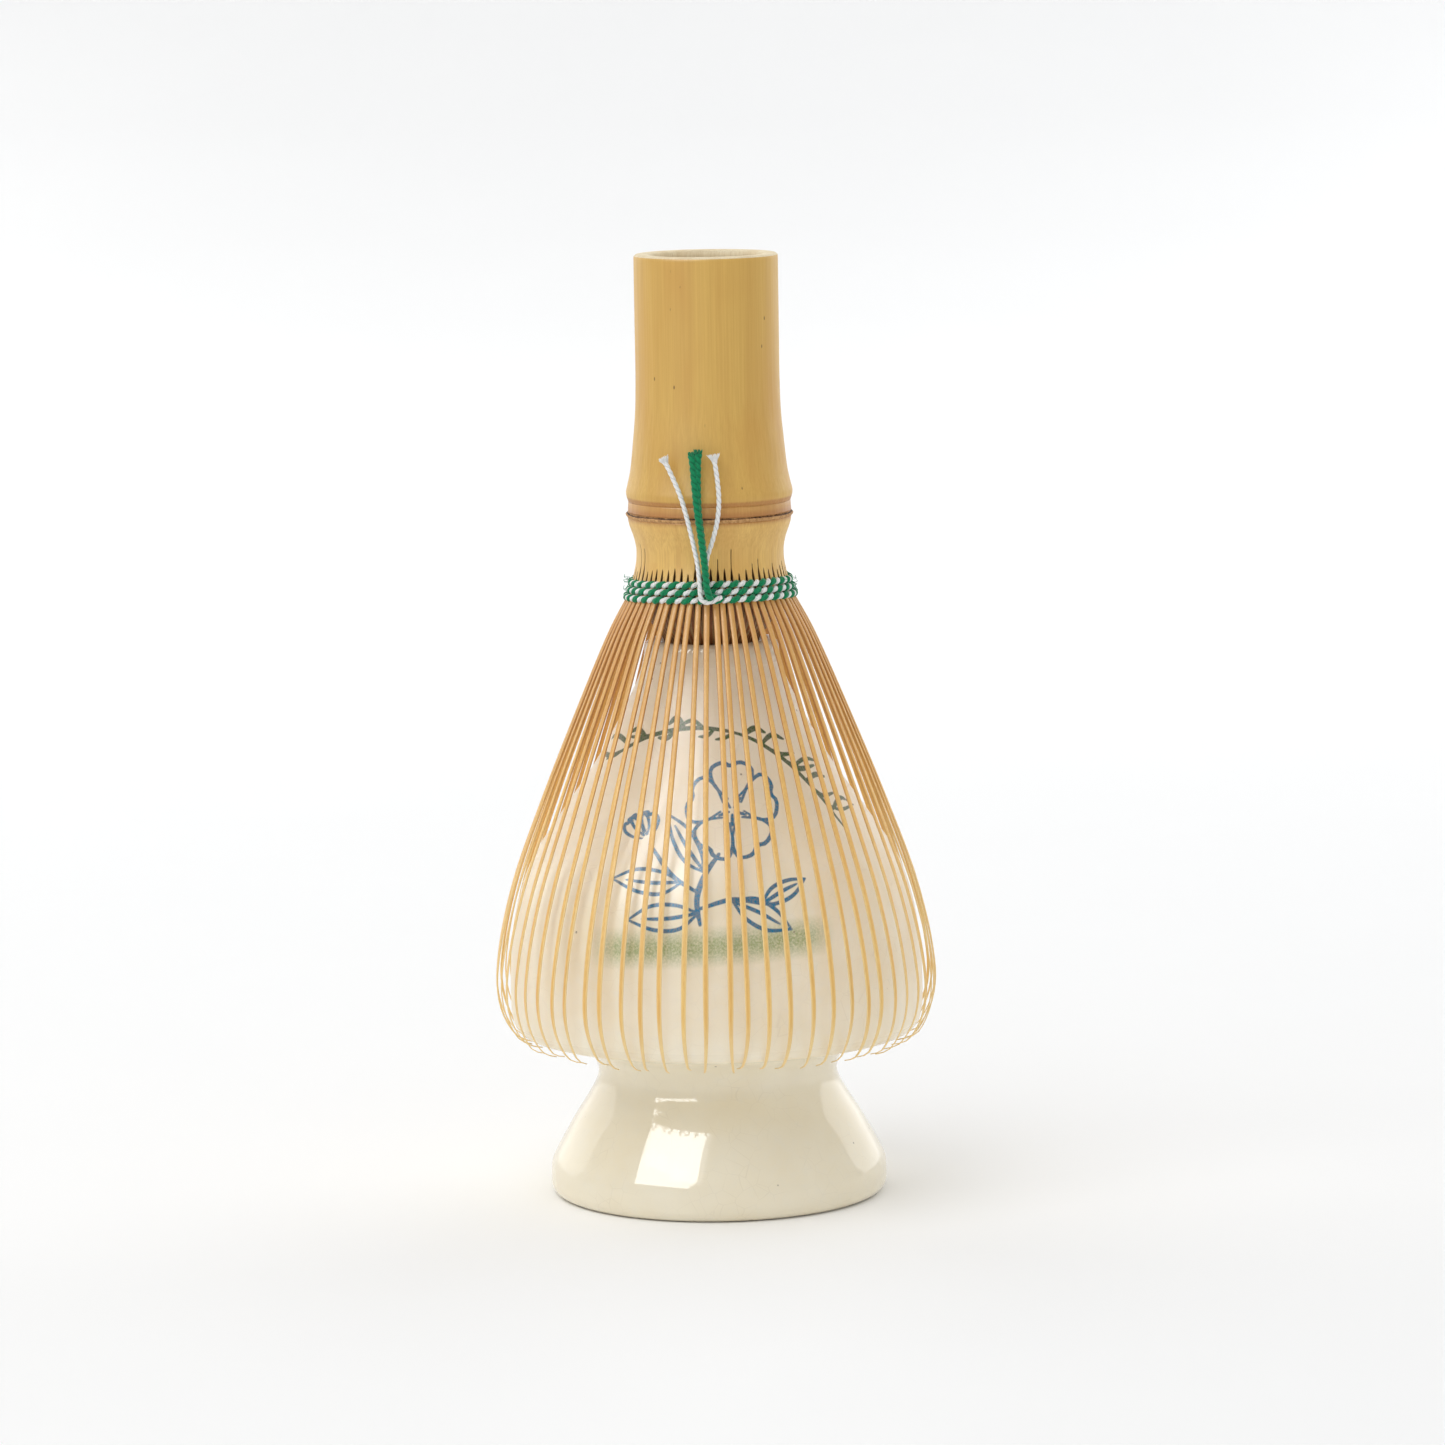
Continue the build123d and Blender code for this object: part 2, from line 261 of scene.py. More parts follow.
def bamboo(name, light, dark, warm, deep=None, roughness=0.42, fibre=0.35, specks=True, stain=False):
    """Bamboo: fine fibres along Z, broad warm patches and small dark specks.

    Shaved strips, which are given a deep colour, have their own tone, pale edges that are a painted
    highlight, and dark side faces that are painted shade in the deep colour.
    """
    s = Shader(name, roughness, specular=0.45)
    fine = s.noise(s.stretched(5.0, 5.0, 0.05), 1.0, detail=4)
    broad = s.noise(s.stretched(0.5, 0.5, 0.02), 1.0, detail=3)
    patches = s.noise(s.stretched(0.12, 0.12, 0.05), 1.0, detail=2)
    colour = s.mix(s.between(fine, 0.38, 0.66, 0.0, fibre), light, dark)
    colour = s.mix(s.between(broad, 0.42, 0.68, 0.0, fibre), colour, dark)
    colour = s.mix(s.between(patches, 0.48, 0.72, 0.0, 0.55), colour, warm)
    if specks:
        dots = s.node("ShaderNodeTexVoronoi", {"Vector": s.stretched(1.0, 1.0, 0.45), "Scale": 0.62})
        small = s.between(dots.outputs["Distance"], 0.05, 0.10, 1.0, 0.0)
        some = s.between(s.noise(s.stretched(0.4, 0.4, 0.2), 1.0), 0.50, 0.56)
        colour = s.mix(s.math("MULTIPLY", s.math("MULTIPLY", small, some), 0.75), colour, rgb(104, 66, 30))
    if stain:
        streaked = s.math("MULTIPLY", s.attribute("stain"), s.between(fine, 0.3, 0.7, 0.7, 1.0))
        colour = s.mix(streaked, colour, rgb(176, 112, 58))
    if deep:
        colour = s.mix(s.between(s.attribute("tone"), 0.0, 1.0, 0.0, 0.4), colour, warm)
        # painted highlight: the edge attribute lightens the strips' edges and tips
        colour = s.mix(s.between(s.attribute("edge"), 0.35, 0.9, 0.0, 0.6), colour, rgb(250, 228, 172))
        # painted shade: the shade attribute darkens the strips towards the deep colour
        colour = s.mix(s.between(s.attribute("shade"), 0.0, 1.0, 0.0, 0.85), colour, deep)
    s.set("Base Color", colour)
    s.set("Roughness", s.between(fine, 0.3, 0.7, roughness - 0.06, roughness + 0.14))
    s.bump(fine, 0.35, 0.05)
    s.bump(broad, 0.25, 0.12)
    return s.material


def scar_material():
    """The sheath scar: a ragged dark line above a paler, fibrous ledge."""
    s = Shader("scar_dark", roughness=0.7, specular=0.25)
    fibres = s.noise(s.stretched(2.6, 2.6, 1.4), 1.0, detail=5)
    ragged = s.noise(s.stretched(0.9, 0.9, 0.9), 1.0, detail=4)
    ledge = s.mix(s.between(fibres, 0.36, 0.66), rgb(172, 126, 78), rgb(214, 168, 112))
    line = s.mix(s.between(fibres, 0.42, 0.7), rgb(62, 38, 20), rgb(138, 96, 54))
    dark = s.between(s.math("ADD", s.attribute("line"), s.math("MULTIPLY", ragged, 0.9)), 0.98, 1.14)
    s.set("Base Color", s.mix(dark, ledge, line))
    s.bump(fibres, 0.8, 0.15)
    return s.material


def cotton(name, colour, deep, pale):
    """Cotton cord: fine fibres, painted shade in a deeper colour between the plies, a soft sheen."""
    s = Shader(name, roughness=0.86, specular=0.2)
    fibres = s.noise(s.stretched(9.0, 9.0, 9.0), 1.0, detail=4)
    tint = s.mix(s.between(fibres, 0.35, 0.7), colour, pale)
    # painted shade: the groove attribute darkens the cord towards the deep colour between the plies
    tint = s.mix(s.between(s.attribute("groove"), 0.35, 1.0, 0.0, 0.8), tint, deep)
    s.set("Base Color", tint)
    s.surface.inputs["Sheen Weight"].default_value = 0.35
    s.surface.inputs["Sheen Roughness"].default_value = 0.4
    s.bump(fibres, 0.6, 0.08)
    return s.material


def glaze():
    """Cream crackle glaze over a painted spray, and bare clay where the foot stands."""
    s = Shader("cream_glaze", roughness=0.05, specular=0.55)
    cloud = s.noise(s.stretched(0.09, 0.09, 0.09), 1.0, detail=3)
    mottle = s.noise(s.stretched(0.7, 0.7, 0.7), 1.0, detail=3)
    colour = s.mix(s.between(cloud, 0.35, 0.7), rgb(253, 245, 225), rgb(248, 236, 209))
    colour = s.mix(s.between(mottle, 0.5, 0.75, 0.0, 0.35), colour, rgb(246, 240, 226))
    colour = s.mix(s.between(s.attribute("satin"), 0.0, 1.0, 0.35, 0.0), colour, rgb(232, 221, 192))
    brush = s.noise(s.stretched(3.2, 3.2, 3.2), 1.0, detail=4)
    broken = s.between(brush, 0.40, 0.62, 0.82, 1.0)
    wash = s.math("MULTIPLY", s.attribute("wash"), s.between(brush, 0.30, 0.62, 0.35, 0.85))
    colour = s.mix(wash, colour, rgb(150, 166, 102))
    for name, ink, thin in (
        ("green", rgb(14, 50, 14), rgb(56, 100, 40)),
        ("blue", rgb(0, 78, 122), rgb(0, 124, 172)),
    ):
        edge = s.between(s.attribute(name), -0.07, 0.07, 1.0, 0.0)
        pigment = s.mix(s.between(brush, 0.38, 0.66), ink, thin)
        colour = s.mix(s.math("MULTIPLY", edge, broken), colour, pigment)
    cracks = s.node(
        "ShaderNodeTexVoronoi", {"Vector": s.stretched(1, 1, 1), "Scale": 0.42}, feature="DISTANCE_TO_EDGE",
    ).outputs["Distance"]
    crack = s.between(cracks, 0.0, 0.022, 1.0, 0.0)
    faint = s.between(s.noise(s.stretched(0.15, 0.15, 0.15), 1.0), 0.40, 0.62, 0.0, 0.10)
    colour = s.mix(s.math("MULTIPLY", crack, faint), colour, rgb(150, 128, 96))
    pins = s.node("ShaderNodeTexVoronoi", {"Vector": s.stretched(1, 1, 1), "Scale": 0.16}).outputs["Distance"]
    colour = s.mix(s.between(pins, 0.022, 0.036, 0.6, 0.0), colour, rgb(96, 76, 54))
    bare = s.attribute("bare")
    clay = s.mix(s.between(mottle, 0.4, 0.7), rgb(206, 184, 150), rgb(182, 156, 120))
    s.set("Base Color", s.mix(bare, colour, clay))
    satin = s.between(s.attribute("satin"), 0.0, 1.0, 0.05, 0.30)
    s.set("Roughness", s.math("MAXIMUM", satin, s.between(bare, 0.0, 1.0, 0.0, 0.82)))
    s.bump(cloud, 0.12, 0.3)
    s.bump(crack, 0.05, 0.02)
    return s.material


SKIN = bamboo(
    "culm_skin", rgb(220, 178, 92), rgb(194, 144, 68), rgb(208, 156, 74), fibre=0.30, stain=True,
)
BAND = bamboo(
    "culm_band", rgb(212, 162, 92), rgb(178, 124, 60), rgb(204, 146, 74), roughness=0.36, stain=True,
)
INSIDE = bamboo(
    "culm_inside", rgb(240, 226, 194), rgb(206, 180, 134), rgb(228, 202, 156), roughness=0.7, specks=False,
)
NECK = bamboo(
    "neck_bamboo", rgb(236, 196, 112), rgb(200, 150, 78), rgb(222, 170, 90), deep=rgb(74, 40, 16),
    fibre=0.45, stain=True,
)
OUTER = bamboo(
    "tine_bamboo", rgb(246, 204, 122), rgb(206, 146, 70), rgb(236, 178, 92), deep=rgb(188, 124, 60),
    specks=False,
)
# the inner tines are the same light bamboo as the outer ones: these dark browns are painted shade
INNER = bamboo(
    "tine_inner", rgb(176, 120, 66), rgb(116, 72, 34), rgb(150, 92, 44), deep=rgb(96, 54, 26), specks=False,
)
SCAR = scar_material()
WHITE = cotton("cotton_white", rgb(236, 236, 234), rgb(176, 180, 182), rgb(250, 250, 248))
GREEN = cotton("cotton_green", rgb(2, 122, 76), rgb(0, 54, 32), rgb(18, 148, 98))
GLAZE = glaze()


# ---------------------------------------------------------------- stand

OUTSIDE = (
    (22.9, 0.0), (23.7, 0.22), (24.3, 0.8), (24.55, 1.65), (24.55, 3.2), (24.52, 4.1), (24.32, 5.0),
    (23.7, 6.3), (21.1, 11.0), (18.6, 15.0), (17.5, 17.5), (17.75, 19.6), (19.2, 21.6), (22.8, 23.2),
    (26.6, 23.8), (28.5, 24.1), (29.4, 25.0), (29.85, 26.4), (30.05, 30.0), (29.35, 40.0), (26.8, 48.8),
    (23.0, 54.8), (17.05, 63.5), (12.9, 71.0), (10.4, 76.5), (9.8, 79.2), (9.75, 80.1),
)
LIP = ((9.38, 80.98), (8.48, 81.37), (7.58, 80.98), (7.2, 80.1))
INSIDE_WALL = (
    (7.2, 79.0), (7.5, 76.0), (9.9, 70.5), (14.0, 63.0), (19.8, 54.6), (23.7, 48.2), (26.2, 39.5),
    (26.9, 30.0), (26.0, 27.4), (23.5, 26.6), (17.8, 24.2), (14.8, 20.5), (14.7, 17.0), (17.2, 11.5),
    (19.5, 4.6), (19.6, 3.4), (19.6, 0.9), (19.75, 0.2),
)
SHOULDER = 29.9             # the height from which the stand only narrows
GLAZE_DEPTH = 0.8           # points this far inside the outer surface still take its paint
PAINT_LOW, PAINT_HIGH = 36.0, 74.0
PAINT_HALF_TURN = radians(62)


def stand_radius(height):
    """Outer radius of the belly and neck at a height."""
    upper = np.array([p for p in OUTSIDE if p[1] >= SHOULDER])
    line = smooth(upper, 200)
    return np.interp(height, line[:, 1], line[:, 0])


def on_stand(points):
    """Points of a stroke, drawn as (x to the right, height) from the front, laid on the glaze."""
    line = np.array(points, float)
    radius = stand_radius(line[:, 1])
    x = np.clip(line[:, 0], -0.98 * radius, 0.98 * radius)
    return np.column_stack([x, -np.sqrt(radius ** 2 - x ** 2), line[:, 1]])


def stroke_field(strokes):
    """How far each point lies from the nearest brush stroke's edge, in millimetres, negative inside it."""
    def field(points):
        nearest = np.full(len(points), 3.0)
        near = (points[:, 1] < 0) & (points[:, 2] > PAINT_LOW - 3) & (points[:, 2] < PAINT_HIGH + 3)
        near &= np.hypot(points[:, 0], points[:, 1]) > stand_radius(points[:, 2]) - GLAZE_DEPTH
        some = points[near]
        best = nearest[near]
        for outline, thick, thin in strokes:
            line = on_stand(smooth(outline, 26))
            swell = np.sin(np.linspace(0.15, pi - 0.1, len(line))) ** 0.7
            width = thin + (thick - thin) * swell
            for start, end, w0, w1 in zip(line[:-1], line[1:], width[:-1], width[1:]):
                along = end - start
                t = np.clip(((some - start) @ along) / max(along @ along, 1e-9), 0, 1)
                gap = np.linalg.norm(some - start - t[:, None] * along, axis=1) - (w0 + (w1 - w0) * t) / 2
                best = np.minimum(best, gap)
        nearest[near] = best
        return nearest
    return field


def petal(centre, angle, length, width):
    """The outline of one petal, as a closed brush line from the flower's heart and back."""
    shape = (
        (0.25, 0.10), (0.55, 0.42), (0.88, 0.50), (1.02, 0.20), (0.94, 0.02), (1.02, -0.18), (0.86, -0.48),
        (0.52, -0.40), (0.25, -0.10),
    )
    c, s = cos(angle), sin(angle)
    return [
        (centre[0] + length * a * c - width * b * s, centre[1] + length * a * s + width * b * c)
        for a, b in shape
    ]


def leaf(root, tip, belly):
    """The two edges and the middle vein of a leaf."""
    r, t = np.array(root, float), np.array(tip, float)
    side = np.array([-(t - r)[1], (t - r)[0]]) * belly
    return [
        [r, r + 0.3 * (t - r) + 0.9 * side, r + 0.65 * (t - r) + 0.8 * side, t],
        [r, r + 0.3 * (t - r) - 0.7 * side, r + 0.65 * (t - r) - 0.8 * side, t],
        [r, r + 0.45 * (t - r) + 0.12 * side, r + 0.8 * (t - r)],
    ]


def blue_strokes():
    """A line-drawn blossom with a bud on a bent stem."""
    strokes = []
    heart = (2.6, 59.0)
    for k in range(5):
        strokes.append((petal(heart, radians(90 + 72 * k), 6.2, 6.0), 0.62, 0.22))
    for k in range(5):
        a = radians(126 + 72 * k)
        stamen = [(heart[0] + reach * cos(a), heart[1] + reach * sin(a)) for reach in (0.5, 2.0)]
        strokes.append((stamen, 0.5, 0.3))
    stem = [(0.6, 53.4), (-1.6, 50.4), (-2.6, 47.4), (-2.2, 44.0)]
    strokes.append((stem, 0.85, 0.4))
    strokes.append(([(-2.5, 48.4), (-6.0, 50.6), (-9.2, 54.6)], 0.7, 0.35))
    strokes.append(([(-2.3, 46.2), (2.6, 47.4), (7.0, 46.6)], 0.7, 0.35))
    for root, tip, belly in (
        ((-2.4, 45.6), (-12.5, 44.4), 0.20), ((-4.6, 49.8), (-14.6, 49.8), 0.18),
        ((2.4, 47.2), (10.8, 42.9), 0.20), ((-1.4, 51.0), (-6.6, 58.6), 0.18),
        ((6.6, 46.6), (12.8, 49.6), 0.20),
    ):
        for line in leaf(root, tip, belly):
            strokes.append((line, 0.6, 0.22))
    for k in (-1, 0, 1):
        strokes.append((petal((-9.4, 54.8), radians(112 + 28 * k), 3.8, 2.4), 0.55, 0.2))
    return strokes


def green_strokes():
    """A bent spray of narrow leaves over the blossom."""
    spine = smooth([
        (-15.4, 64.6), (-9.0, 68.6), (-2.5, 70.0), (4.2, 68.9), (9.6, 65.6), (14.2, 61.0), (18.6, 55.4),
    ], 30)
    strokes = [(spine[:16], 0.7, 0.3), (spine[14:], 0.7, 0.3)]
    draw = Random(11)
    for k in range(1, 28):
        if k % 3 == 1:
            continue
        x, z = spine[k]
        side = 1 if k % 2 else -1
        out = -1 if k < 15 else 1
        length = draw.uniform(2.2, 4.2)
        rise = side * draw.uniform(0.5, 1.5)
        middle = (x + out * length * 0.5, z + rise * 0.9)
        tip = (x + out * length, z + rise * 0.6 - 0.4)
        strokes.append(([(x, z), middle, tip], draw.uniform(0.6, 0.95), 0.2))
    return strokes


def wash_field(points):
    """A soft band of green ground under the stem."""
    x, y, z = points.T
    middle = 41.0 + 0.05 * x
    tall = np.clip(1.25 - np.abs(z - middle) / 2.4, 0, 1)
    wide = np.clip((17.5 - np.abs(x + 0.5)) / 4.0, 0, 1)
    return np.where(y < 0, tall * wide, 0.0) * (np.hypot(x, y) > stand_radius(z) - GLAZE_DEPTH)


def bare_field(points):
    """Bare clay on the ring that the foot stands on, and a little way up inside it."""
    radius = np.hypot(points[:, 0], points[:, 1])
    under = points[:, 2] < 0.12
    inside = (radius < 19.8) & (points[:, 2] < 6.0)
    return (under | inside).astype(float)


def satin_field(points):
    """The belly and neck are duller than the foot and the lip, rubbed by many whisks."""
    height = points[:, 2]
    return np.clip((height - 22) / 4, 0, 1) * np.clip((80.0 - height) / 2, 0, 1)


def build_stand():
    corners = [*OUTSIDE, *LIP, *INSIDE_WALL]
    fine = smooth([*corners, corners[0]], 900)
    radius, height = fine.T
    painted = (height > PAINT_LOW) & (height < PAINT_HIGH) & (radius > stand_radius(height) - 0.5)
    keep = [k for k in range(len(fine) - 1) if painted[k] or k % 3 == 0]
    front = np.linspace(-PAINT_HALF_TURN, PAINT_HALF_TURN, 240, endpoint=False)
    rest = np.linspace(PAINT_HALF_TURN, 2 * pi - PAINT_HALF_TURN, 130, endpoint=False)
    uneven = waves(5, 9, 1, 5)
    stand = lathe(
        "stand_glazed", fine[keep], np.concatenate([front, rest]), GLAZE,
        rough=lambda a, h: 0.035 * uneven(a, h * 0.3) * (h > 1.0),
        values={
            "blue": stroke_field(blue_strokes()), "green": stroke_field(green_strokes()),
            "wash": wash_field, "bare": bare_field, "satin": satin_field,
        },
    )
    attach(stand, "stand")
    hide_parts(*STAND_NODES)


# ---------------------------------------------------------------- culm

TURNS = 320
GRIP_RADIUS = 10.4
RIDGE_HEIGHT = 102.10       # the handle is stained brown below its ridge

def build_culm():
    """Handle, band, scar and septum: one culm, turned with the small ridges of its fibres."""
    azimuths = np.linspace(0, 2 * pi, TURNS, endpoint=False)
    ridges = waves(21, 14, 30, 110)
    lumps = waves(22, 8, 1, 6)

    def fibres(azimuth, height):
        return 0.018 * ridges(azimuth, height * 0.05) + 0.05 * lumps(azimuth, height * 0.25)

    outside = smooth([
        (11.72, HANDLE_LOW), (11.84, HANDLE_LOW + 0.35), (12.01, 102.35), (12.02, 102.95), (11.86, 103.6),
        (11.60, 104.7), (11.33, 106.1), (10.92, 109.9), (10.55, 114.0),
        (GRIP_RADIUS, 118.5), (GRIP_RADIUS, 127.0), (GRIP_RADIUS, WHISK_TOP - 0.5),
    ], 120)
    rim = np.array([
        (GRIP_RADIUS - 0.05, WHISK_TOP - 0.22), (GRIP_RADIUS - 0.3, WHISK_TOP - 0.02), (9.4, WHISK_TOP),
        (BORE_RADIUS + 0.5, WHISK_TOP - 0.02), (BORE_RADIUS + 0.12, WHISK_TOP - 0.25),
    ])
    inside = np.array([(BORE_RADIUS + 0.03, z) for z in np.linspace(WHISK_TOP - 0.8, HANDLE_LOW + 0.02, 40)])
    nicks = waves(23, 16, 20, 90)

    def handle_rough(azimuth, height):
        sawn = np.clip((height - WHISK_TOP + 0.3) / 0.3, 0, 1)
        return fibres(azimuth, height) - 0.05 * sawn * np.clip(nicks(azimuth, height * 0), 0.2, 1)

    def ridge_stain(points):
        return np.clip((RIDGE_HEIGHT - points[:, 2]) / 0.12, 0, 0.8)

    def band_stain(points):
        share = (HANDLE_LOW - points[:, 2]) / (HANDLE_LOW - BAND_LOW)
        return np.clip(share * 1.6 - 0.5, 0, 0.75)

    handle = lathe(
        "culm_handle", np.vstack([outside, rim, inside]), azimuths, SKIN, handle_rough,
        values={"stain": ridge_stain},
    )
    handle.data.materials.append(INSIDE)
    inner_from = len(outside)
    rows = len(outside) + len(rim) + len(inside)
    marks = [int(inner_from <= k // TURNS < rows - 1) for k in range(len(handle.data.polygons))]
    handle.data.polygons.foreach_set("material_index", marks)
    face = smooth([(11.82, BAND_LOW), (11.76, (BAND_LOW + HANDLE_LOW) / 2), (11.72, HANDLE_LOW)], 8)
    back = np.array([(BORE_RADIUS + 0.05, HANDLE_LOW), (BORE_RADIUS + 0.05, BAND_LOW)])
    band = lathe(
        "culm_band", np.vstack([face, back]), azimuths, BAND, fibres, values={"stain": band_stain},
    )

    wander = waves(24, 9, 2, 9)
    crumbs = waves(25, 18, 25, 80)
    middle = (SCAR_LOW + BAND_LOW) / 2
    ring = [
        (11.76, SCAR_LOW - 0.12), (11.92, SCAR_LOW + 0.02), (12.07, middle - 0.14), (12.10, middle - 0.02),
        (12.02, middle + 0.08), (11.90, middle + 0.13), (11.84, middle + 0.20), (11.80, BAND_LOW - 0.02),
        (11.70, BAND_LOW), (BORE_RADIUS + 0.2, BAND_LOW), (BORE_RADIUS + 0.2, SCAR_LOW),
    ]
    darkness = (0.05, 0.1, 0.15, 0.2, 0.45, 0.8, 0.85, 0.5, 0.3, 0.3, 0.3)
    scar = lathe(
        "culm_scar", np.array(ring), azimuths, SCAR,
        rough=lambda a, h: 0.04 * crumbs(a, h) + 0.03 * wander(a, h * 0),
        values={"line": lambda points: np.repeat(darkness, TURNS)},
    )
    for k, vertex in enumerate(scar.data.vertices):
        if k // TURNS < 8:
            angle = azimuths[k % TURNS]
            vertex.co.z += 0.12 * MM * float(wander(angle, 0.0)) + 0.03 * MM * float(crumbs(angle, 1.0))
    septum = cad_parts["septum"]
    septum.data.materials.clear()
    septum.data.materials.append(INSIDE)
    for piece, node, name in (
        (handle, "handle", "culm_skin"), (band, "node_band", "node_band"),
        (scar, "sheath_scar", "sheath_scar"),
    ):
        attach(piece, "whisk")
        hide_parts(node)


# ---------------------------------------------------------------- split neck and tines

SPLIT_ROOT = 92.4
CORD_TOP = 91.5
SCAR_FOOT = 98.5            # the scar's brown stain starts here and deepens upwards
JOIN = 88.75                # under the braid, where a strip is carried on by its tine


def strip_radius(height):
    """Outer radius of the strips below the split root, as in the CAD."""
    down = SPLIT_ROOT - height
    return 10.75 + 0.18 * down + 0.021 * down ** 2


def tine_angle(number):
    """Azimuth of an outer tine: the pitch, with neighbours drawn together or apart a little."""
    draw = Random(400 + number % TINES)
    first = -(PER_NODE - 1) / 2 * PITCH
    return first + number * PITCH + draw.uniform(-0.13, 0.13) * PITCH


def slit_half_width(depth, top):
    """Half the width of a slit, that far under its top: a hairline at first, then a V down to the cord."""
    if depth <= 0:
        return 0.0
    hairline = max(top - CORD_TOP - 1.0, 0.0)
    return 0.02 + 0.16 * np.clip((depth - hairline) / 1.3, 0, 1) ** 0.8


def build_neck():
    """The culm below the scar, slit into strips. Slits of uneven height open downwards between them."""
    draw = Random(31)
    tops = []
    for k in range(TINES):
        long_crack = draw.random() < 0.16
        tops.append(draw.uniform(93.6, 95.8) if long_crack else draw.uniform(91.6, 93.0))
    tops = np.array(tops)
    full = smooth([
        (11.86, SCAR_LOW), (11.62, 98.0), (11.0, 96.2), (10.68, 94.6), (10.66, 93.4),
        (strip_radius(SPLIT_ROOT), SPLIT_ROOT),
    ], 26)
    skirt = np.array([(strip_radius(z), z) for z in np.linspace(SPLIT_ROOT, JOIN, 16)[1:]])
    outside = np.vstack([full, skirt])
    inside = outside - np.array([0.45, 0.0])
    inside[:len(full), 0] = np.linspace(8.15, inside[len(full), 0], len(full))
    columns = np.array([-1.0, -0.82, -0.45, 0.0, 0.45, 0.82, 1.0])
    centres = [tine_angle(k) for k in range(TINES)]
    slits = np.add(centres, [*centres[1:], centres[0] + 2 * pi]) / 2
    ridges = waves(33, 14, 30, 110)
    points, faces, shade, tone, stain = [], [], [], [], []
    rows = len(outside)
    for k in range(TINES):
        left = slits[k - 1] - (2 * pi if k == 0 else 0)
        right = slits[k]
        tint = draw.random()
        start = len(points)
        for layer, line in enumerate((outside, inside)):
            for radius, height in line:
                open_left = max(0.0, tops[k - 1] - height)
                open_right = max(0.0, tops[k] - height)
                half_left = slit_half_width(open_left, tops[k - 1]) / radius
                half_right = slit_half_width(open_right, tops[k]) / radius
                for share in columns:
                    angle = (left + half_left) * (1 - share) / 2 + (right - half_right) * (1 + share) / 2
                    opening = open_left if share < 0 else open_right
                    rounding = 0.05 if abs(share) > 0.9 and opening > 0.3 and layer == 0 else 0.0
                    r = radius - rounding + 0.015 * float(ridges(angle, height * 0.05))
                    points.append((r * sin(angle), -r * cos(angle), height))
                    tone.append(tint if height < 93 else 0.3)
                    # painted shade: the inner layer and the walls of open slits take the deep colour
                    shade.append(1.0 if layer or (abs(share) == 1 and opening > 0) else 0.0)
                    stain.append(min(max((height - SCAR_FOOT) / 0.7, 0.0), 1.0))
        n = len(columns)
        size = rows * n
        for row in range(rows - 1):
            a = start + row * n
            for c in range(n - 1):
                faces.append((a + c, a + n + c, a + n + c + 1, a + c + 1))
                b = a + size
                faces.append((b + c, b + c + 1, b + n + c + 1, b + n + c))
            height_low = outside[row + 1][1]
            if height_low < tops[k - 1]:
                faces.append((a, a + size, a + size + n, a + n))
            if height_low < tops[k]:
                e = n - 1
                faces.append((a + e, a + n + e, a + size + n + e, a + size + e))
        for row in (0, rows - 1):
            a = start + row * n
            for c in range(n - 1):
                cap = (a + c, a + c + 1, a + size + c + 1, a + size + c)
                faces.append(cap if row == 0 else cap[::-1])
    neck = make_object("culm_neck", points, faces, NECK, {"tone": tone, "shade": shade, "stain": stain})
    weld(neck)
    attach(neck, "whisk")
    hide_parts("split_neck")


def weld(piece, distance_mm=0.002):
    """Joins points that lie on each other, and turns all faces outwards."""
    mesh = bmesh.new()
    mesh.from_mesh(piece.data)
    bmesh.ops.remove_doubles(mesh, verts=mesh.verts, dist=distance_mm * MM)
    bmesh.ops.recalc_face_normals(mesh, faces=mesh.faces)
    mesh.to_mesh(piece.data)
    mesh.free()


SECTION = np.array([
    (-1.0, -0.55), (-0.78, -1.0), (0.0, -1.0), (0.78, -1.0), (1.0, -0.55),
    (1.0, 0.45), (0.80, 0.92), (0.0, 1.10), (-0.80, 0.92), (-1.0, 0.45),
])


def tine_points(path, azimuth, widths, thicknesses, sideways, twist):
    """The skin of one tine: its section carried along the path in the meridian plane at that azimuth."""
    tangent = np.gradient(path, axis=0)
    tangent /= np.linalg.norm(tangent, axis=1)[:, None]
    normal = np.column_stack([-tangent[:, 1], tangent[:, 0]])
    if normal[0, 0] < 0:
        normal = -normal
    share = np.linspace(0, 1, len(path))
    half_width = np.interp(share, np.linspace(0, 1, len(widths)), widths) / 2
    half_thick = np.interp(share, np.linspace(0, 1, len(thicknesses)), thicknesses) / 2
    out = np.array([sin(azimuth), -cos(azimuth), 0])
    along = np.array([cos(azimuth), sin(azimuth), 0])
    up = np.array([0, 0, 1])
    points = []
    for k in range(len(path)):
        turn = twist * share[k]
        centre_r = path[k, 0] - normal[k, 0] * half_thick[k]
        centre_z = path[k, 1] - normal[k, 1] * half_thick[k]
        across = SECTION[:, 0] * half_width[k]
        deep = SECTION[:, 1] * half_thick[k]
        b = across * cos(turn) - deep * sin(turn)
        n = across * sin(turn) + deep * cos(turn)
        r = centre_r + n * normal[k, 0]
        z = centre_z + n * normal[k, 1]
        points.append(r[:, None] * out + (b + sideways[k])[:, None] * along + z[:, None] * up)
    return np.vstack(points)


def tine_faces(sections, start):
    n = len(SECTION)
    faces = grid_faces(sections, n, start=start)
    faces.append(tuple(start + k for k in range(n - 1, -1, -1)))
    faces.append(tuple(start + (sections - 1) * n + k for k in range(n)))
    return faces


def tine_values(sections, tint, shades):
    """Edge, tone and shade numbers for one tine's points."""
    edge = np.tile(np.abs(SECTION[:, 0]), sections)
    return edge, np.full(sections * len(SECTION), tint), np.repeat(shades, len(SECTION))


BEND_START = 87.6           # where a tine leaves the neck's line and starts to bend outwards
TINE_SECTIONS = 60
OUTER_WIDTHS = (0.84, 0.80, 0.76, 0.75, 0.76, 0.77, 0.79, 0.80, 0.81, 0.81, 0.80, 0.78, 0.70, 0.50, 0.22)
OUTER_THICKNESSES = (0.45, 0.36, 0.30, 0.26, 0.20, 0.12)
INNER_SECTIONS = 34
INNER_WIDTHS = (0.80, 0.76, 0.52, 0.40, 0.30)
INNER_THICKNESSES = (0.42, 0.34, 0.26, 0.20, 0.16)


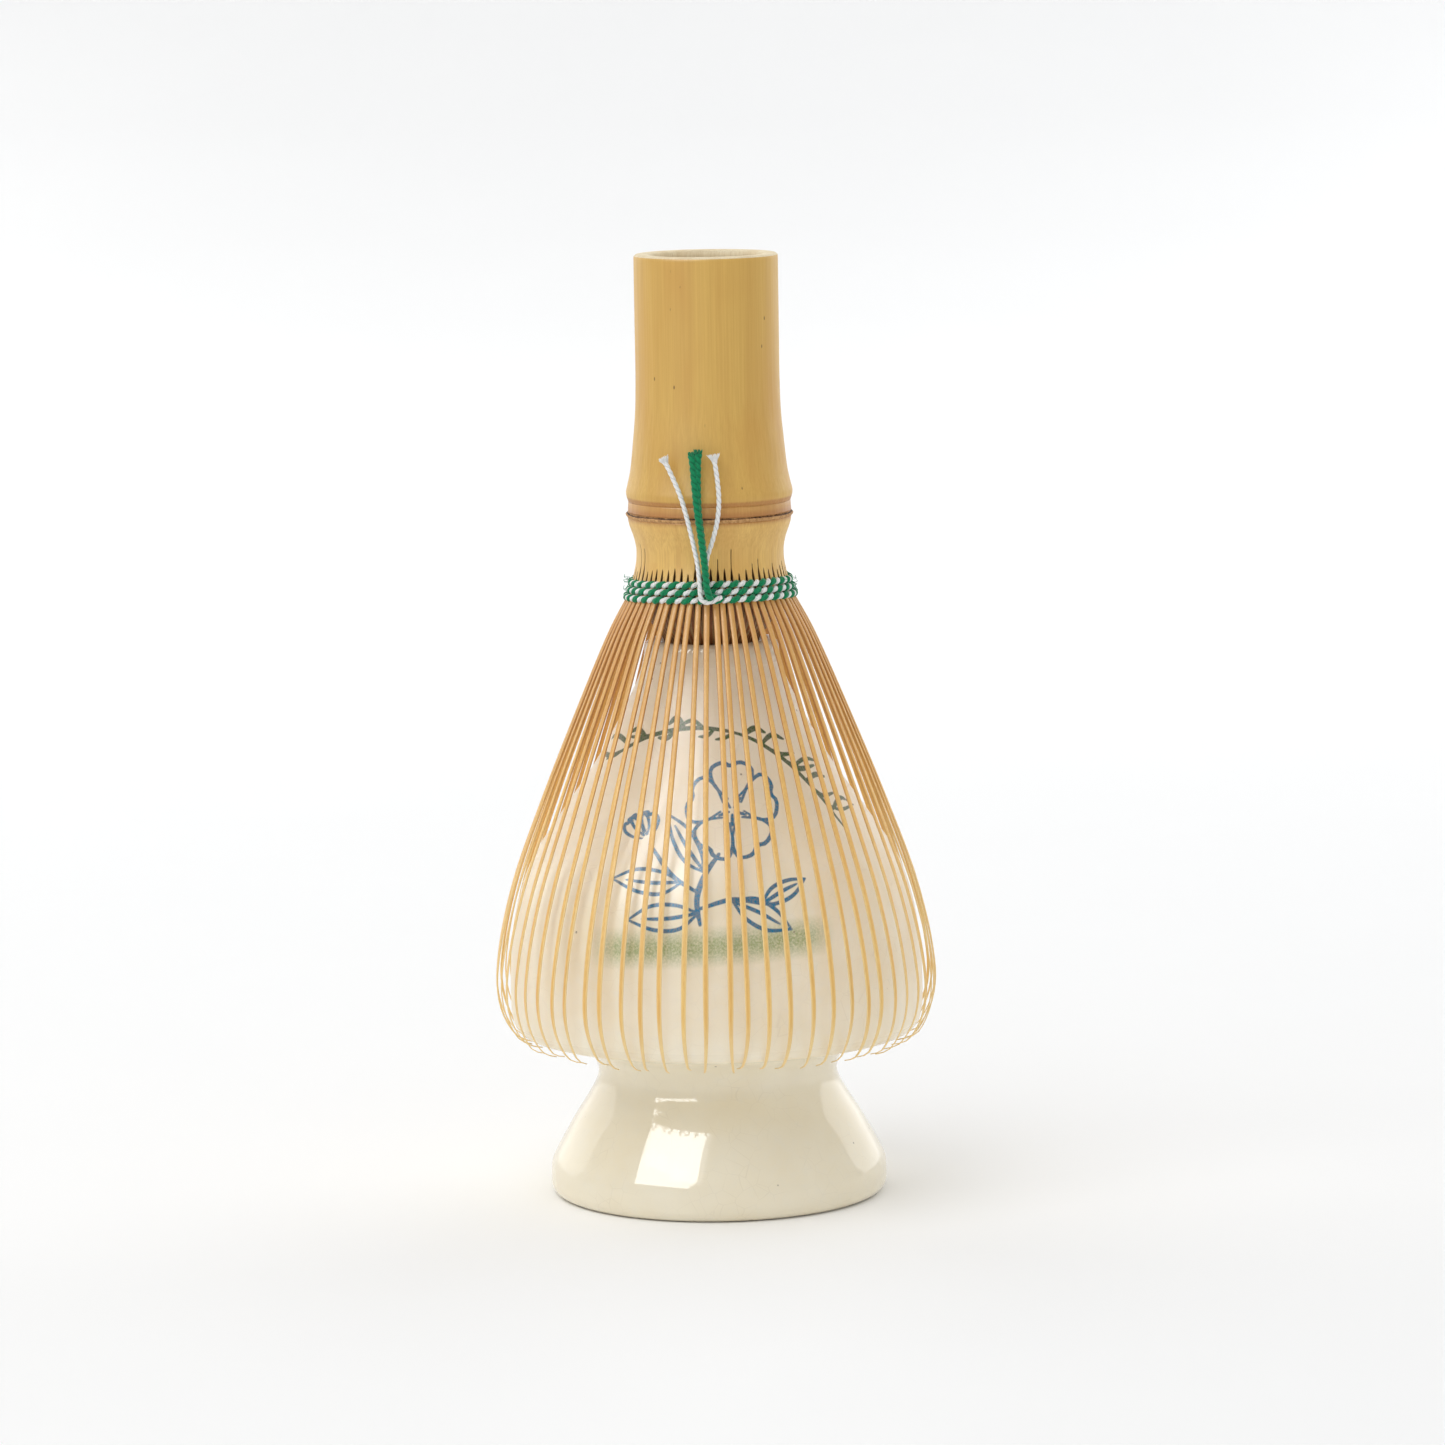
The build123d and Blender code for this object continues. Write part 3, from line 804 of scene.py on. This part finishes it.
def outer_path(draw):
    """The outer face of one tine from under the braid to its hooked tip, a little different each time."""
    belly = draw.uniform(-0.30, 0.0)
    hook = draw.uniform(-0.5, 0.9)
    drop = draw.uniform(0.1, 0.6)
    points = [
        (strip_radius(JOIN), JOIN), (strip_radius(BEND_START), BEND_START), (12.95, 86.1), (14.9, 82.4),
        (20.55 + belly * 0.3, 69.3), (25.3 + belly * 0.6, 57.6), (29.6 + belly, 45.9),
        (31.8 + belly, 36.5), (32.25 + belly, 30.5), (31.3 + belly, 26.0 + drop),
        (29.1 + hook * 0.3, 23.0 + drop), (27.0 + hook, 22.3 + drop),
    ]
    return smooth(points, TINE_SECTIONS)


def tine_group(name, tines, material):
    """One piece of four tines, from the points, edge, tone and shade of each."""
    points, edge, tone, shade = (np.concatenate(part) for part in zip(*tines))
    count = len(points) // PER_NODE
    faces = [face for k in range(PER_NODE) for face in tine_faces(count // len(SECTION), k * count)]
    return make_object(name, points, faces, material, {"edge": edge, "tone": tone, "shade": shade})


def build_outer_tines():
    """Sixteen pieces of four tines, each bent out of the neck."""
    share = np.linspace(0, 1, TINE_SECTIONS)
    # painted highlight on the pale edges of the lower part and on the tips; painted shade on the upper part
    # and on its side faces
    lower = np.repeat(np.clip((share - 0.25) / 0.4, 0, 1), len(SECTION))
    tip_highlight = np.repeat(np.clip((share - 0.84) / 0.08, 0, 0.9), len(SECTION))
    for group in range(GROUPS):
        tines = []
        for number in range(group * PER_NODE, (group + 1) * PER_NODE):
            draw = Random(700 + number)
            path = outer_path(draw)
            lean = draw.uniform(-0.35, 0.35)
            curl = draw.uniform(-1.1, 1.1)
            sideways = lean * np.sin(share * pi) + curl * (np.clip(share - 0.86, 0, 1) / 0.14) ** 2
            widths = [w * draw.uniform(0.94, 1.06) for w in OUTER_WIDTHS]
            twist = draw.uniform(-0.25, 0.25)
            points = tine_points(path, tine_angle(number), widths, OUTER_THICKNESSES, sideways, twist)
            side, tone, shade = tine_values(TINE_SECTIONS, draw.random(), np.clip(0.7 - share * 1.6, 0, 1))
            edge = np.maximum(side * lower, tip_highlight)
            tines.append((points, edge, tone, np.maximum(shade, (side > 0.99) * (1 - lower))))
        piece = tine_group(f"tines_outer_{group + 1:02d}", tines, OUTER)
        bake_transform(piece)
        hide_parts(f"outer_tines_{group + 1:02d}")


def build_inner_tines():
    """Sixteen pieces of four tines that gather into the stand's mouth."""
    share = np.linspace(0, 1, INNER_SECTIONS)
    for group in range(GROUPS):
        tines = []
        for number in range(group * PER_NODE, (group + 1) * PER_NODE):
            draw = Random(1200 + number)
            away = draw.uniform(-0.12, 0.12)
            path = smooth([
                (9.72, SPLIT_ROOT + 0.3), (9.6, 88.5), (9.25, 85.4), (8.45 + away, 83.3), (7.3 + away, 82.0),
                (6.6, 80.6), (6.1, 74.0), (5.6 + away, 62.0), (4.3 + away, 50.6),
            ], INNER_SECTIONS)
            sideways = draw.uniform(-0.05, 0.05) * np.sin(share * pi)
            azimuth = -(PER_NODE - 1) / 2 * PITCH + (number + 0.5) * PITCH + draw.uniform(-0.06, 0.06) * PITCH
            twist = draw.uniform(-0.1, 0.1)
            points = tine_points(path, azimuth, INNER_WIDTHS, INNER_THICKNESSES, sideways, twist)
            # painted shade, deepest near the braid
            shades = np.clip(1.1 - share * 2.2, 0.2, 1)
            tines.append((points, *tine_values(INNER_SECTIONS, draw.random(), shades)))
        piece = tine_group(f"tines_inner_{group + 1:02d}", tines, INNER)
        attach(piece, "whisk")
        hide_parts(f"inner_tines_{group + 1:02d}")


# ---------------------------------------------------------------- cord

def rope(line, radius, plies, lay_mm, around_count=18, taper=(1.0, 1.0), depth=0.2):
    """A twisted cord along a line of points: its round section is lobed, and the lobes turn as it goes."""
    line = np.asarray(line, float)
    tangent = np.gradient(line, axis=0)
    tangent /= np.linalg.norm(tangent, axis=1)[:, None]
    steps = np.concatenate([[0], np.cumsum(np.linalg.norm(np.diff(line, axis=0), axis=1))])
    side = np.cross(tangent[0], (0, 0, 1.0))
    if np.linalg.norm(side) < 0.1:
        side = np.cross(tangent[0], (1.0, 0, 0))
    side /= np.linalg.norm(side)
    angles = np.linspace(0, 2 * pi, around_count, endpoint=False)
    ends = np.interp(steps / steps[-1], (0, 0.06, 0.94, 1), (taper[0], 1, 1, taper[1]))
    points, groove = [], []
    for k, at in enumerate(line):
        side -= tangent[k] * (side @ tangent[k])
        side /= np.linalg.norm(side)
        other = np.cross(tangent[k], side)
        phase = plies * (angles + 2 * pi * steps[k] / lay_mm)
        dip = (1 - np.abs(np.cos(phase / 2))) ** 1.5
        r = radius * ends[k] * (1 - depth * dip)
        points.append(at + (np.cos(angles) * r)[:, None] * side + (np.sin(angles) * r)[:, None] * other)
        groove.append(dip)
    faces = grid_faces(len(line), around_count)
    faces.append(tuple(range(around_count - 1, -1, -1)))
    last = (len(line) - 1) * around_count
    faces.append(tuple(last + k for k in range(around_count)))
    return np.vstack(points), faces, np.concatenate(groove)


SWING = 0.50                # how far a twined cord goes in and out as it passes the strips


def sag(azimuth):
    """The rows are pulled up a little at the knot and sit lower at the sides, more so on the left."""
    front = np.cos(azimuth)
    return -0.26 + 0.55 * np.maximum(front, -0.5 * front) + 0.13 * np.sin(azimuth)


def build_braid():
    """Two cords twined round the strips in each row: one passes outside a strip, the other behind it."""
    stitches = TINES // 2
    samples = 1152
    azimuth = np.linspace(0, 2 * pi, samples, endpoint=False)
    for row, (row_name, height) in enumerate(zip(ROW_NAMES, ROWS)):
        out = outer_radius(f"braid_row_{row_name}")
        shift = row * pi
        for cord_name, material, phase0, radius, slot, lean in (
            ("white", WHITE, 0.0, 0.37, "white_cord", -0.20), ("green", GREEN, pi, 0.44, "green_cord", 0.08),
        ):
            draw = Random(90 + row * 2 + (cord_name == "green"))
            drift = waves(60 + row, 6, 1, 7)
            phase = stitches * azimuth + phase0 + shift + 0.45 * drift(azimuth, 0.0)
            swing = np.clip(np.cos(phase) + lean, -1, 1)
            shape = np.sign(swing) * np.abs(swing) ** 0.75
            middle = out - radius - SWING
            r = middle + SWING * shape
            z = height + sag(azimuth) + 0.18 * np.sin(phase) + 0.06 * drift(azimuth, 1.0)
            line = around(r, azimuth, z)
            line = np.vstack([line, line[:1]])
            points, faces, groove = rope(line, radius, 3, 1.7, around_count=14, depth=0.26)
            piece = make_object(f"braid_{cord_name}_{row_name}", points, faces, material, {"groove": groove})
            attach(piece, "whisk")
            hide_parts(f"braid_row_{row_name}", "inner_wrap")


GREEN_TAIL_RADIUS = 0.50
WHITE_TAIL_RADIUS = 0.35
FRAYED_FIBRES = 110
STRAY_FIBRES = 34
TAILS = {
    "tail_white_left": [
        (-1.5, -13.3, 89.6), (-1.6, -13.15, 92.6), (-2.45, -12.95, 96.8), (-3.4, -12.75, 100.9),
        (-4.5, -12.2, 104.5), (-6.3, -11.0, 108.2),
    ],
    "tail_white_right": [
        (-0.7, -11.9, 90.9), (-0.75, -12.0, 93.6), (0.35, -12.25, 96.6), (1.25, -12.75, 100.0),
        (1.45, -12.7, 104.2), (0.75, -12.3, 108.6),
    ],
    "tail_green_left": [
        (-0.5, -13.85, 89.6), (-0.7, -13.82, 92.4), (-1.25, -13.6, 97.2), (-1.98, -13.2, 102.6),
        (-2.38, -12.5, 109.0),
    ],
    "tail_green_right": [
        (-0.5, -13.1, 89.6), (-0.65, -13.05, 92.4), (-1.15, -12.95, 97.2), (-1.78, -12.85, 102.6),
        (-1.5, -12.6, 109.3),
    ],
}


def spline_points(name, points, resolution=24):
    """Points read from the NURBS spline that has these control points, in millimetres."""
    curve = bpy.data.curves.new(name, "CURVE")
    curve.dimensions = "3D"
    curve.resolution_u = resolution
    spline = curve.splines.new("NURBS")
    spline.points.add(len(points) - 1)
    for target, point in zip(spline.points, points):
        target.co = (*point, 1.0)
    spline.order_u = 3
    spline.use_endpoint_u = True
    holder = bpy.data.objects.new(name, curve)
    bpy.context.scene.collection.objects.link(holder)
    bpy.context.view_layer.update()
    mesh = bpy.data.meshes.new_from_object(holder.evaluated_get(bpy.context.evaluated_depsgraph_get()))
    line = np.array([v.co for v in mesh.vertices])
    bpy.data.objects.remove(holder)
    bpy.data.curves.remove(curve)
    bpy.data.meshes.remove(mesh)
    return line


def fray(line, radius, draw, count, length, flare):
    """The brush of loose fibres at a cut cord end."""
    end, back = line[-1], line[-6]
    ahead = (end - back) / np.linalg.norm(end - back)
    side = np.cross(ahead, (0, 1, 0))
    side /= np.linalg.norm(side)
    other = np.cross(ahead, side)
    fibres = []
    for _ in range(count):
        a, share = draw.uniform(0, 2 * pi), draw.random() ** 0.5
        direction = cos(a) * side + sin(a) * other
        reach = length * draw.uniform(0.7, 1.0)
        spread = share * flare * draw.uniform(0.35, 0.75)
        start = end - ahead * 0.7 + direction * radius * share * 0.85
        middle = start + ahead * reach * 0.5 + direction * spread * reach * 0.35
        tip = start + ahead * reach + direction * spread * reach * 0.9
        fibres.append(smooth([start, middle, tip], 6))
    return fibres


def tube(line, radius, start, sides=5):
    """A plain thin thread, pointed at its far end."""
    points, faces, _ = rope(line, radius, 1, 50.0, around_count=sides, taper=(1.0, 0.35), depth=0.0)
    return points, [tuple(start + k for k in face) for face in faces]


def build_fuzz():
    """Stray fibres that stand off the braid."""
    draw = Random(77)
    points, faces, used = [], [], 0
    for _ in range(STRAY_FIBRES):
        azimuth = draw.choice((radians(88), radians(-88), draw.uniform(-pi, pi))) + draw.uniform(-0.12, 0.12)
        height = draw.uniform(ROWS[2] - 0.3, ROWS[0] + 0.4)
        radius = outer_radius("braid_row_middle") - 0.7
        reach = draw.uniform(0.75, 1.0)
        turn, rise = draw.uniform(-0.09, 0.09), draw.uniform(-0.5, 1.0)
        route = [
            (radius, azimuth, height), (radius + reach, azimuth + turn * 0.4, height + rise * 0.4),
            (radius + reach * 0.9, azimuth + turn, height + rise),
        ]
        line = smooth([(r * sin(a), -r * cos(a), z) for r, a, z in route], 9)
        more, more_faces = tube(line, 0.035, used)
        points.append(more)
        faces += more_faces
        used += len(more)
    piece = make_object("braid_fuzz", np.vstack(points), faces, GREEN, values={"groove": np.zeros(used)})
    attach(piece, "whisk")


def build_tails():
    for name, route in TAILS.items():
        draw = Random(len(name) * 7 + ord(name[-1]))
        line = evenly(spline_points(name, route), 150)
        white = "white" in name
        radius, flare = (WHITE_TAIL_RADIUS, 1.0) if white else (GREEN_TAIL_RADIUS, 0.35)
        points, faces, groove = rope(line, radius, 2, 1.9, around_count=20, taper=(1.0, 1.25), depth=0.3)
        points, groove = [points], [groove]
        used = len(points[0])
        for fibre in fray(line, radius, draw, FRAYED_FIBRES, 1.35, flare):
            more, more_faces = tube(fibre, 0.05, used)
            points.append(more)
            faces += more_faces
            groove.append(np.zeros(len(more)))
            used += len(more)
        material = WHITE if white else GREEN
        values = {"groove": np.concatenate(groove)}
        piece = make_object(f"cord_{name}", np.vstack(points), faces, material, values)
        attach(piece, "whisk")
        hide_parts(name)


def build_knot():
    """The knot: the white cord loops under the green pair, and the green pair tucks in over the rows."""
    loops = {
        "knot_white": (WHITE, 0.37, [
            (-1.48, -13.3, 90.0), (-1.5, -13.3, 89.2), (-1.4, -13.35, 88.5), (-1.0, -13.4, 88.12),
            (-0.4, -13.4, 88.05), (0.3, -13.25, 88.2), (0.9, -12.95, 88.5), (1.5, -12.6, 88.7),
        ]),
        "knot_green": (GREEN, GREEN_TAIL_RADIUS, [
            (-0.5, -13.85, 90.0), (-0.4, -13.9, 89.4), (-0.25, -13.8, 88.9), (0.0, -13.3, 88.5),
            (0.3, -12.7, 88.4),
        ]),
        "knot_green_second": (GREEN, 0.45, [
            (-0.5, -13.1, 90.0), (-0.3, -13.1, 89.3), (0.2, -12.9, 88.8), (0.8, -12.6, 88.7),
        ]),
    }
    for name, (material, radius, route) in loops.items():
        line = evenly(spline_points(name, route), 60)
        points, faces, groove = rope(line, radius, 2, 1.9, around_count=18, depth=0.3)
        piece = make_object(name, points, faces, material, values={"groove": groove})
        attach(piece, "whisk")
        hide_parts("knot")


# ---------------------------------------------------------------- stage, light and camera

WARM_WHITE = (1.0, 0.99, 0.97)
COOL_WHITE = (0.98, 0.99, 1.0)
WHITE_LIGHT = (1.0, 1.0, 1.0)


def area_light(name, position, target, size, power, colour, diffuse=True):
    """A soft rectangular light that faces its target. Without diffuse it only shows in reflections."""
    light = bpy.data.lights.new(name, "AREA")
    light.shape = "RECTANGLE"
    light.size, light.size_y = size
    light.energy = power
    light.color = colour
    holder = bpy.data.objects.new(name, light)
    holder.location = position
    holder.rotation_euler = (Vector(target) - Vector(position)).to_track_quat("-Z", "Y").to_euler()
    holder.visible_diffuse = diffuse
    bpy.context.scene.collection.objects.link(holder)


def build_stage():
    """A pale sweep of floor and backdrop, and the soft lights round it. Lengths here are in metres."""
    s = Shader("pale_floor", roughness=0.9, specular=0.1)
    grain = s.noise(s.stretched(0.02, 0.02, 0.02), 1.0)
    s.set("Base Color", s.mix(grain, rgb(250, 250, 250), rgb(252, 252, 252)))
    half_width, depth, rise = 3.0, 1.6, 1.8
    outline = smooth([(-1.5, 0), (0.4, 0), (1.1, 0.0), (1.45, 0.12), (depth, 0.5), (depth + 0.02, rise)], 60)
    points = [(x / MM, y / MM, z / MM) for y, z in outline for x in (-half_width, half_width)]
    faces = grid_faces(len(outline), 2, close_columns=False)
    make_object("studio_sweep", points, faces, s.material)
    world = bpy.data.worlds.new("studio")
    world.use_nodes = True
    background = world.node_tree.nodes["Background"]
    background.inputs["Color"].default_value = (0.98, 0.99, 1.0, 1)
    background.inputs["Strength"].default_value = 0.60
    bpy.context.scene.world = world
    middle = (0, 0, 0.06)
    area_light("key", (-0.36, -0.42, 0.95), middle, (0.80, 0.80), 3.6, WARM_WHITE)
    area_light("softbox_glints", (-0.50, -0.52, 0.80), middle, (0.74, 0.80), 14.0, WHITE_LIGHT, diffuse=False)
    area_light("side_left", (-0.80, 0.95, 0.55), middle, (1.3, 1.1), 4.6, WARM_WHITE)
    area_light("side_right", (0.80, 0.95, 0.55), middle, (1.3, 1.1), 5.4, COOL_WHITE)
    area_light("backdrop", (0.0, 0.75, 0.9), (0.0, 1.45, 0.1), (2.2, 0.5), 0.3, WHITE_LIGHT)


CAMERA_DISTANCE = 0.905
CAMERA_TILT = radians(7.9)
CAMERA_ROLL = radians(-0.85)
TARGET_HEIGHT = 0.06892
VIEW_WIDTH = 0.2098         # how much the camera sees from side to side at the object
SENSOR_WIDTH = 36


def build_camera():
    data = bpy.data.cameras.new("camera")
    data.sensor_width = SENSOR_WIDTH
    data.lens = SENSOR_WIDTH * CAMERA_DISTANCE / VIEW_WIDTH
    data.shift_x = 0.00685
    camera = bpy.data.objects.new("camera", data)
    back, up = CAMERA_DISTANCE * cos(CAMERA_TILT), CAMERA_DISTANCE * sin(CAMERA_TILT)
    camera.location = (0, -back, TARGET_HEIGHT + up)
    aim = Euler((pi / 2 - CAMERA_TILT, 0, 0)).to_matrix() @ Euler((0, 0, CAMERA_ROLL)).to_matrix()
    camera.rotation_euler = aim.to_euler()
    bpy.context.scene.collection.objects.link(camera)
    bpy.context.scene.camera = camera
    bpy.context.scene.view_settings.view_transform = "Standard"


build_camera()
build_stage()
build_stand()
build_culm()
build_neck()
build_outer_tines()
build_inner_tines()
build_braid()
build_fuzz()
build_tails()
build_knot()
